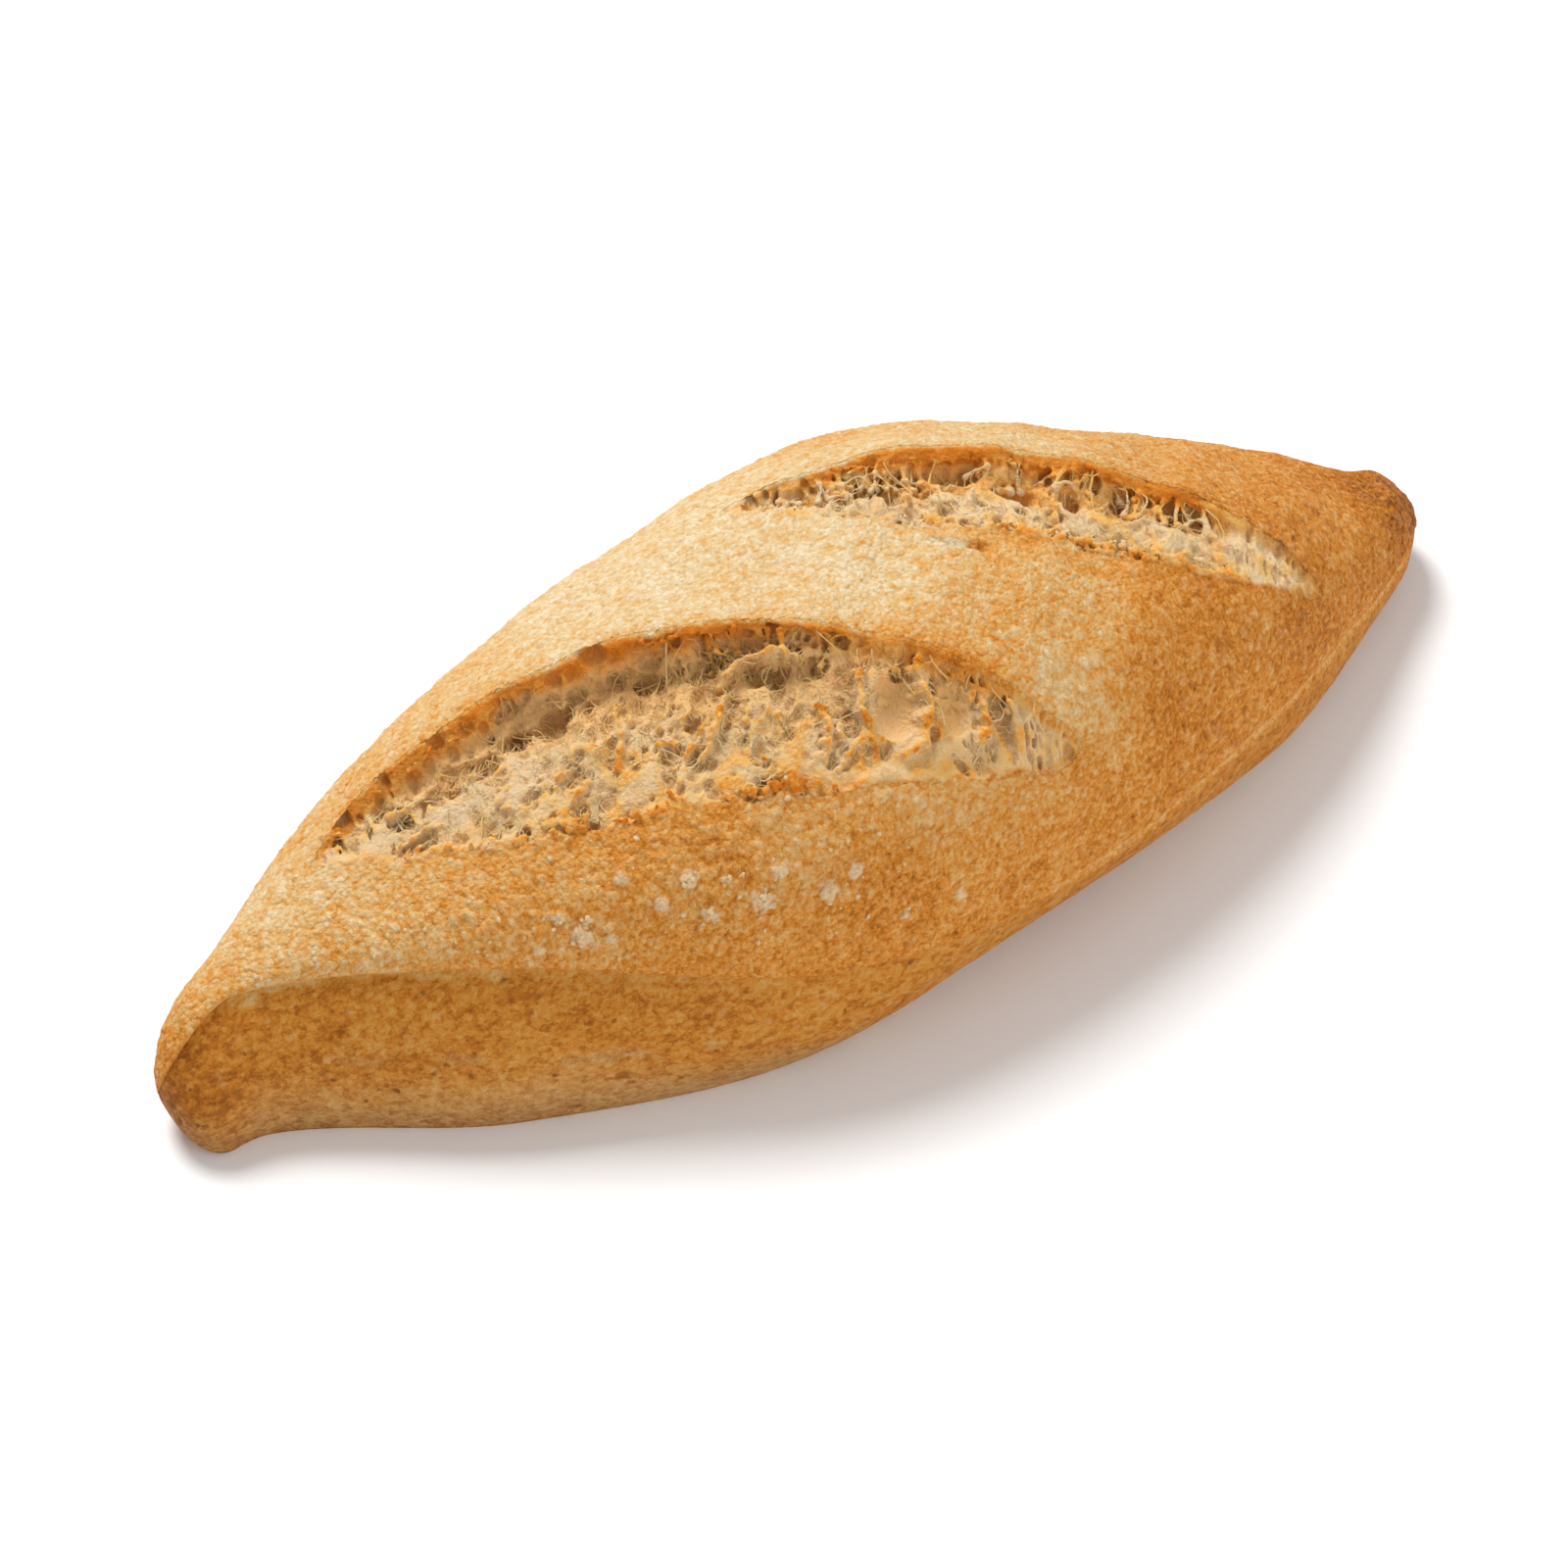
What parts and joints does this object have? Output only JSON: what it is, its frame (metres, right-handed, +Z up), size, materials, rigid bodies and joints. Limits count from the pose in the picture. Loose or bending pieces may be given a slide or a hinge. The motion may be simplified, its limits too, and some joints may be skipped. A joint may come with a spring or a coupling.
{
  "type": "whole wheat bread roll",
  "caption": "Spindle-shaped whole wheat bread roll with drawn-out tips, a flat base, a floured crust and oblique slashes that opened on the torn crumb.",
  "frame": {"origin": "on the surface that the roll rests on, under the middle of its box", "axes": "+X along the roll to the end with the shorter slash, +Z up, -Y to the side where the longer slash ends"},
  "size_m": [0.19, 0.0744, 0.0484],
  "materials": {
    "crust": "matt baked crust with flour"
  },
  "bodies": {
    "root": {"bread_roll": "crust"}
  },
  "joints": []
}
